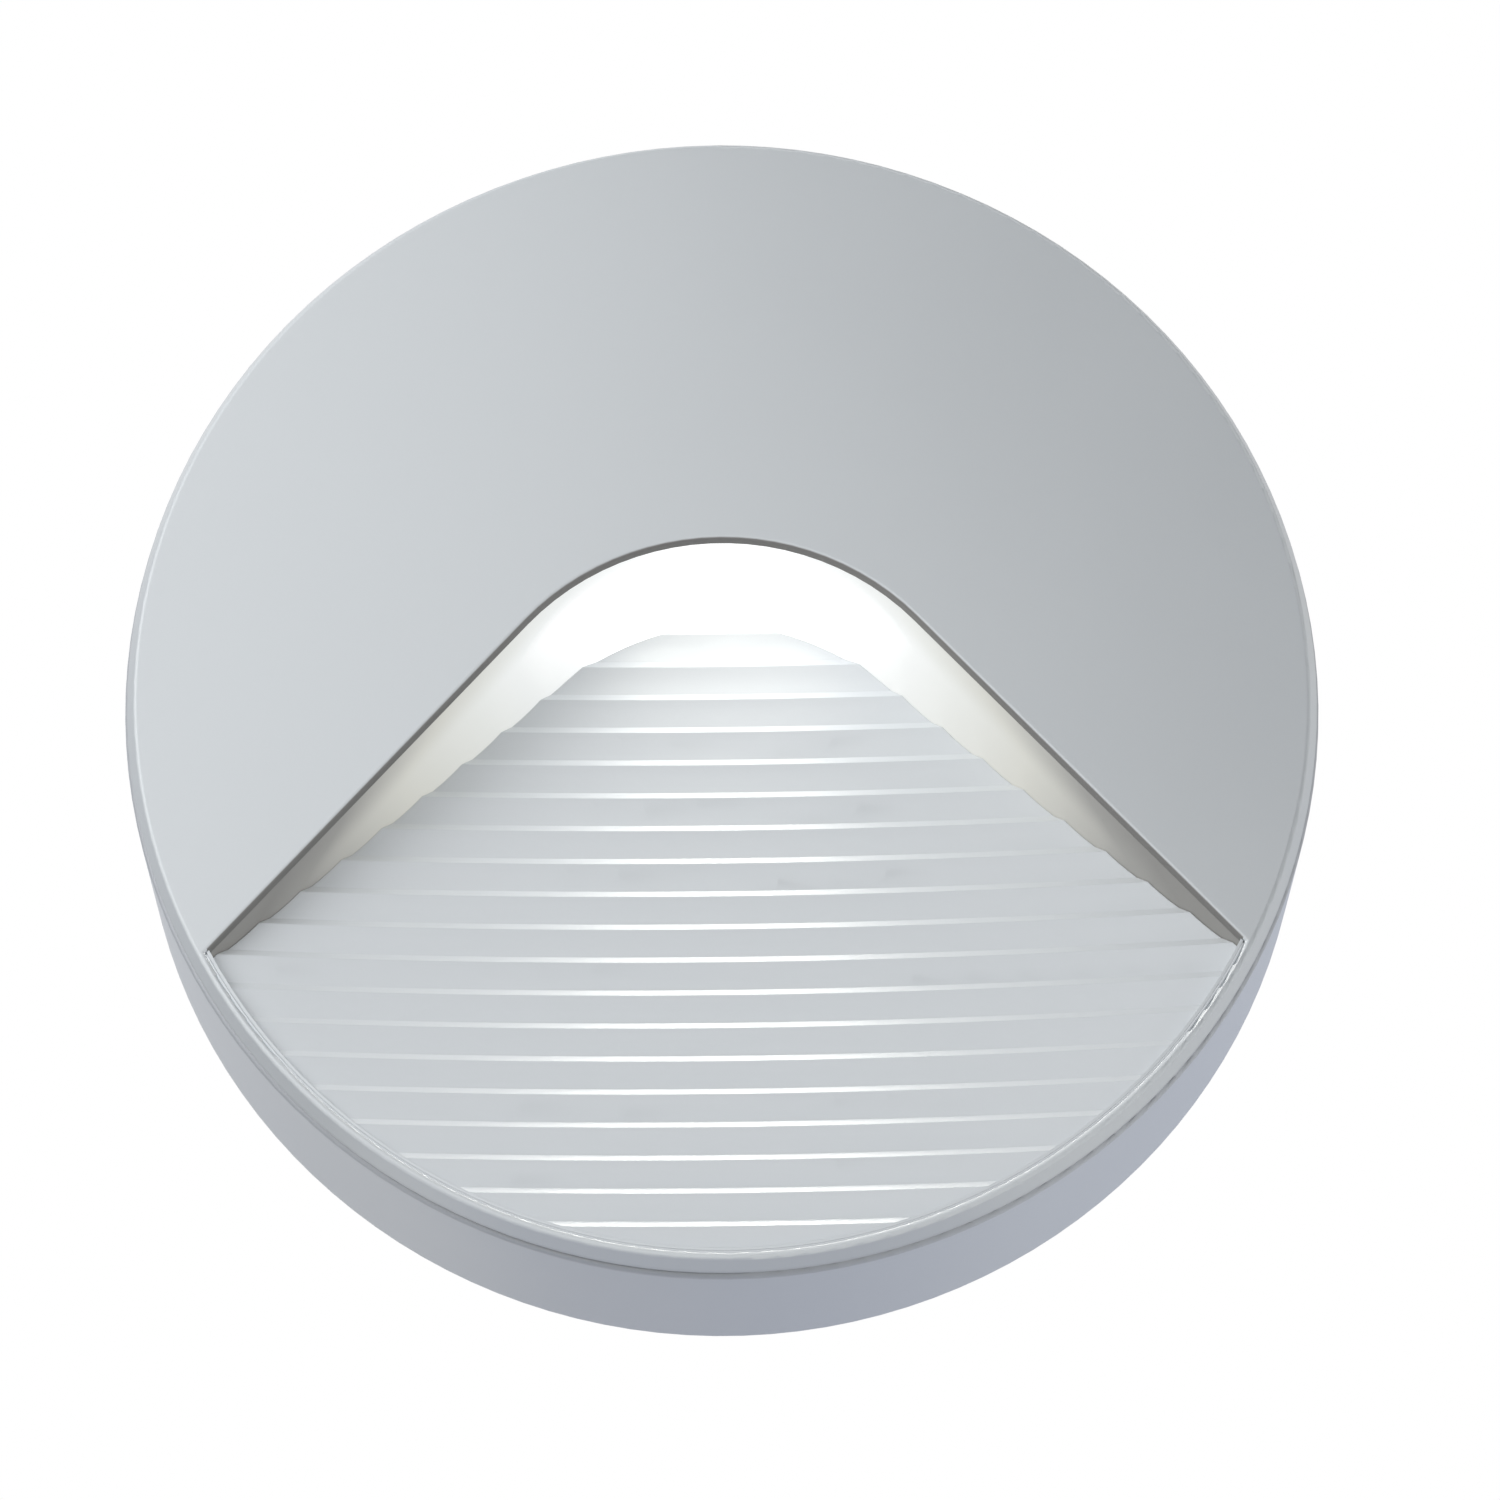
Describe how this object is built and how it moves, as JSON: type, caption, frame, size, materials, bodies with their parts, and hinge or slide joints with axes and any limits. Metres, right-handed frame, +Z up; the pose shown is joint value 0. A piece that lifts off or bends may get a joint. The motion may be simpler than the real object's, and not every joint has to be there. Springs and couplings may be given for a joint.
{
  "type": "outdoor wall light",
  "caption": "Round outdoor wall light: disc cover with an arched scoop, stepped ramp and opal diffuser, lifting off a round wall housing with LED board, driver and terminal block.",
  "frame": {"origin": "centre of the base plate's flat back, on the wall", "axes": "+Y into the wall, the front looks along -Y, +Z up"},
  "size_m": [0.2198, 0.05, 0.2198],
  "materials": {
    "cover_paint": "satin silver grey powder coat",
    "ramp_paint": "satin silver grey paint",
    "opal_plastic": "opal, lit from behind",
    "clear_silicone": "soft, slightly shiny",
    "zinc_steel": "zinc plated",
    "screw_steel": "plain",
    "plate_metal": "satin grey coat on a casting",
    "housing_paint": "satin silver grey powder coat",
    "seal_rubber": "matt",
    "bare_aluminium": "mill finish",
    "board_white": "white solder mask",
    "led_phosphor": "phosphor",
    "driver_plastic": "fine moulded grain",
    "driver_lid_plastic": "fine moulded grain",
    "terminal_plastic": "moulded",
    "lever_brown": "moulded",
    "lever_green": "moulded",
    "lever_blue": "moulded",
    "grommet_rubber": "matt",
    "lead_white": "silicone sleeve",
    "lead_red": "silicone sleeve",
    "lead_green": "plastic sleeve",
    "tag_brass": "stamped"
  },
  "bodies": {
    "base": {"base_plate": "plate_metal", "housing_ring": "housing_paint", "joint_gasket": "seal_rubber", "led_bracket": "bare_aluminium", "led_board": "board_white", "led_chips": "led_phosphor", "bracket_screws": "screw_steel", "board_screws": "screw_steel", "driver_case": "driver_plastic", "driver_lid": "driver_lid_plastic", "driver_screws": "screw_steel", "terminal_block": "terminal_plastic", "terminal_screws": "screw_steel", "cable_grommet": "grommet_rubber", "mains_leads": "lead_white", "led_leads": "lead_red", "earth_lead": "lead_green", "earth_tag": "tag_brass", "earth_screw": "screw_steel"},
    "cover": {"front_cover": "cover_paint", "stepped_ramp": "ramp_paint", "diffuser": "opal_plastic", "diffuser_seal": "clear_silicone", "diffuser_clamps": "zinc_steel", "clamp_screws": "screw_steel"},
    "grub_left": {"grub_screw_left": "screw_steel"},
    "grub_right": {"grub_screw_right": "screw_steel"},
    "lever_live": {"lever_live": "lever_brown"},
    "lever_earth": {"lever_earth": "lever_green"},
    "lever_neutral": {"lever_neutral": "lever_blue"}
  },
  "joints": [
    {"name": "cover_lift_off", "type": "slide", "parent": "base", "child": "cover", "axis": [0, -1, 0], "range_m": [0, 0.06]},
    {"name": "grub_left_turn", "type": "hinge", "parent": "base", "child": "grub_left", "pos_m": [-0.106, -0.037, 0], "axis": [-1, 0, 0], "continuous": true},
    {"name": "grub_right_turn", "type": "hinge", "parent": "base", "child": "grub_right", "pos_m": [0.106, -0.037, 0], "axis": [1, 0, 0], "continuous": true},
    {"name": "lever_live_open", "type": "hinge", "parent": "base", "child": "lever_live", "pos_m": [0.0246, -0.019, 0.0649], "axis": [-1, 0, 0], "range_deg": [0, 90]},
    {"name": "lever_earth_open", "type": "hinge", "parent": "base", "child": "lever_earth", "pos_m": [0.0338, -0.019, 0.0649], "axis": [-1, 0, 0], "range_deg": [0, 90]},
    {"name": "lever_neutral_open", "type": "hinge", "parent": "base", "child": "lever_neutral", "pos_m": [0.043, -0.019, 0.0649], "axis": [-1, 0, 0], "range_deg": [0, 90]}
  ]
}
